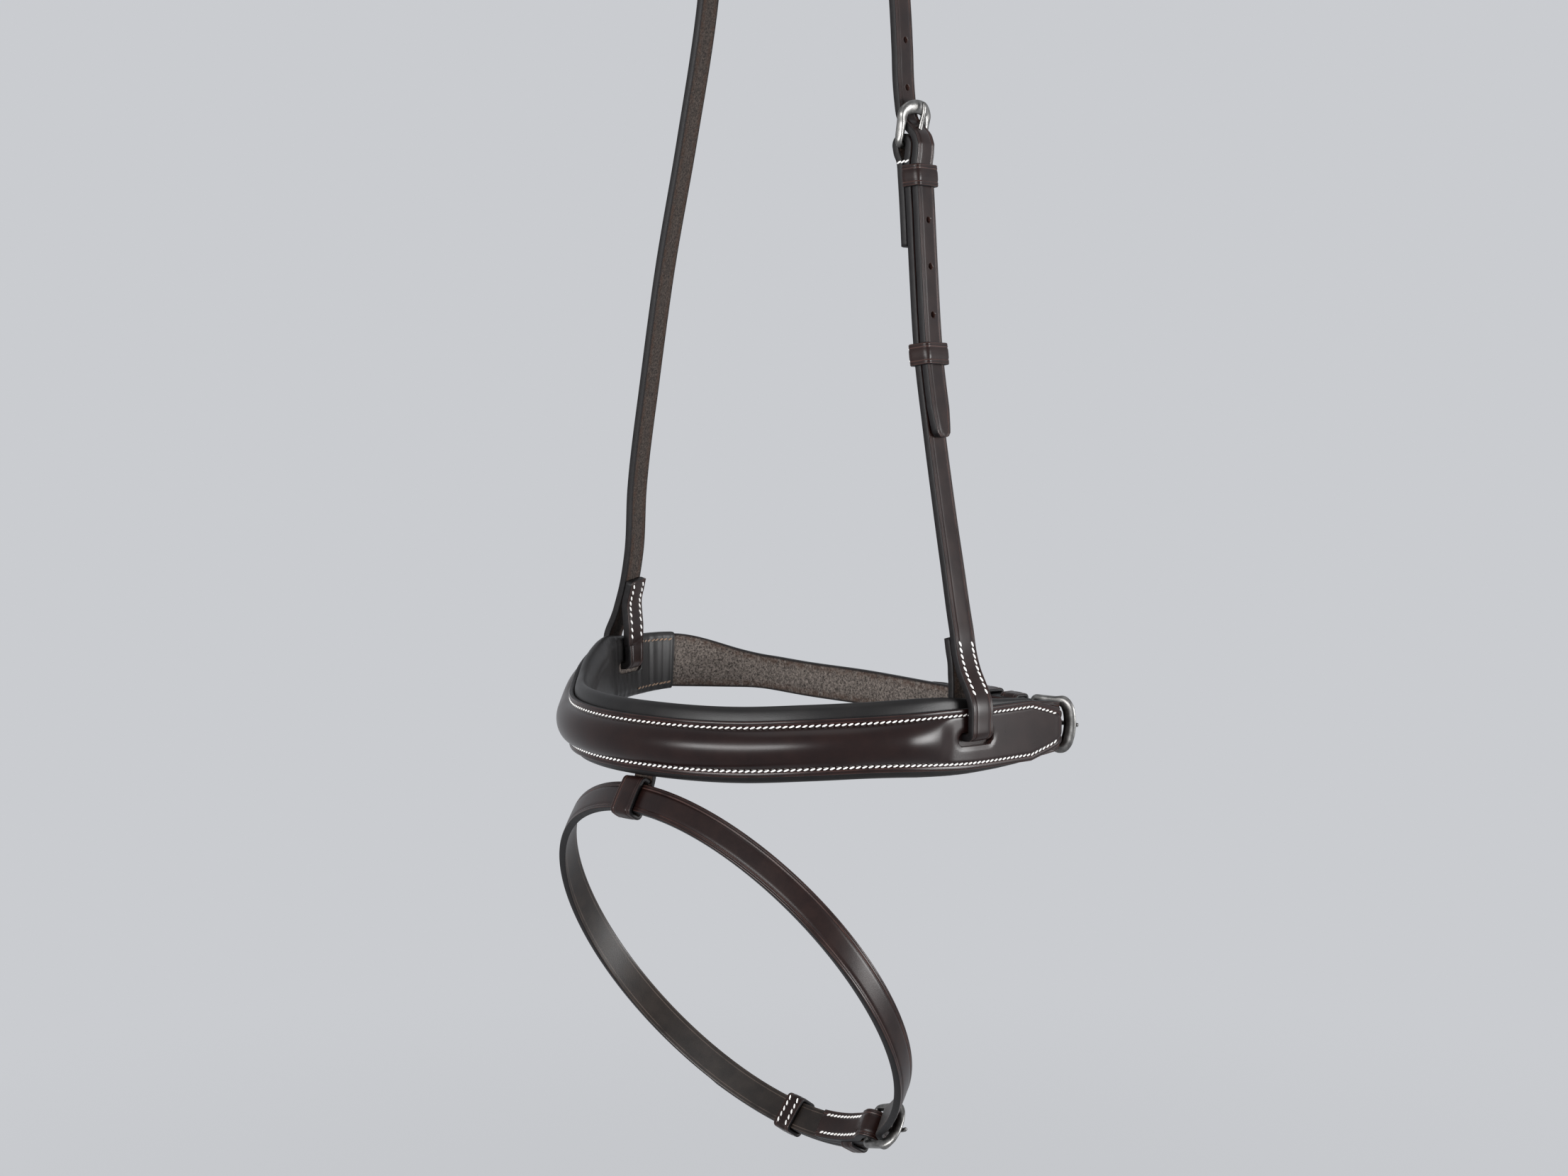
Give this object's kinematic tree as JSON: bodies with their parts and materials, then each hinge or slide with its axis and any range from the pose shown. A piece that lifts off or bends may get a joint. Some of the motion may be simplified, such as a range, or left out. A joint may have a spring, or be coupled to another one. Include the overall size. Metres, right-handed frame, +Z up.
{
  "type": "padded noseband",
  "caption": "Padded horse noseband in dark leather: raised and lined nosepiece on its own head strap, with a buckled chin strap behind and a thin flash strap hung from a loop below.",
  "frame": {"origin": "under side of the crown of the head strap, where it lies over the poll", "axes": "+Z up with the noseband hanging, -Y to the front of the nose, +X to the near (left) side with the cheek buckle"},
  "size_m": [0.2293, 0.1793, 0.6497],
  "materials": {
    "face_leather": "smooth, satin",
    "strap_leather": "smooth, satin",
    "core_leather": "rough",
    "foam": "soft foam",
    "lining_leather": "soft, matt",
    "steel": "worn polish"
  },
  "bodies": {
    "head_strap": {"crown_strap": "strap_leather", "cheek_strap": "strap_leather", "cheek_fixed_keeper": "strap_leather"},
    "noseband": {"nose_face": "face_leather", "nose_roll": "core_leather", "nose_foam": "foam", "nose_lining": "lining_leather", "far_tail": "strap_leather", "near_billet": "strap_leather", "rear_fixed_keeper": "strap_leather", "flash_loop": "strap_leather"},
    "flash": {"flash_strap": "strap_leather", "flash_fixed_keeper": "strap_leather"},
    "cheek_frame": {"cheek_buckle": "steel"},
    "cheek_pin": {"cheek_tongue": "steel"},
    "rear_frame": {"rear_buckle": "steel"},
    "rear_pin": {"rear_tongue": "steel"},
    "flash_frame": {"flash_buckle": "steel"},
    "flash_pin": {"flash_tongue": "steel"},
    "cheek_runner": {"cheek_runner_keeper": "strap_leather"},
    "rear_runner": {"rear_runner_keeper": "strap_leather"},
    "flash_runner": {"flash_runner_keeper": "strap_leather"}
  },
  "joints": [
    {"name": "noseband_tilt", "type": "hinge", "parent": "head_strap", "child": "noseband", "pos_m": [-0.00677, -0.0024, -0.44758], "axis": [0.9977, 0.0218, -0.0647], "range_deg": [-4, 4]},
    {"name": "flash_slide_round", "type": "hinge", "parent": "noseband", "child": "flash", "pos_m": [0.00526, -0.04943, -0.55853], "axis": [0.0877, 0.8341, 0.5446], "range_deg": [-6, 6]},
    {"name": "cheek_buckle_turn", "type": "hinge", "parent": "head_strap", "child": "cheek_frame", "pos_m": [0.05631, 0.00784, -0.20552], "axis": [-0.1516, 0.9878, -0.0356], "range_deg": [-1, 2.5]},
    {"name": "cheek_tongue_turn", "type": "hinge", "parent": "cheek_frame", "child": "cheek_pin", "pos_m": [0.05631, 0.00784, -0.20552], "axis": [-0.1516, 0.9878, -0.0356], "range_deg": [0, 3]},
    {"name": "rear_buckle_turn", "type": "hinge", "parent": "noseband", "child": "rear_frame", "pos_m": [0.08069, 0.06205, -0.45441], "axis": [0.0582, -0.0002, 0.9983], "range_deg": [-1, 2.5]},
    {"name": "rear_tongue_turn", "type": "hinge", "parent": "rear_frame", "child": "rear_pin", "pos_m": [0.08069, 0.06205, -0.45441], "axis": [0.0582, -0.0002, 0.9983], "range_deg": [0, 3]},
    {"name": "flash_buckle_turn", "type": "hinge", "parent": "flash", "child": "flash_frame", "pos_m": [0.05216, -0.0097, -0.62827], "axis": [-0.1133, 0.5759, 0.8096], "range_deg": [-1, 2.5]},
    {"name": "flash_tongue_turn", "type": "hinge", "parent": "flash_frame", "child": "flash_pin", "pos_m": [0.05216, -0.0097, -0.62827], "axis": [-0.1133, 0.5759, 0.8096], "range_deg": [0, 3]},
    {"name": "cheek_keeper_slide", "type": "slide", "parent": "head_strap", "child": "cheek_runner", "axis": [-0.1503, 0.0257, 0.9883], "range_m": [-0.01, 0.01]},
    {"name": "rear_keeper_slide", "type": "slide", "parent": "noseband", "child": "rear_runner", "axis": [-0.9984, 0.0028, 0.0558], "range_m": [-0.003, 0.005]},
    {"name": "flash_keeper_slide", "type": "slide", "parent": "flash", "child": "flash_runner", "axis": [-0.9877, 0.0016, 0.1566], "range_m": [-0.003, 0.002]}
  ]
}
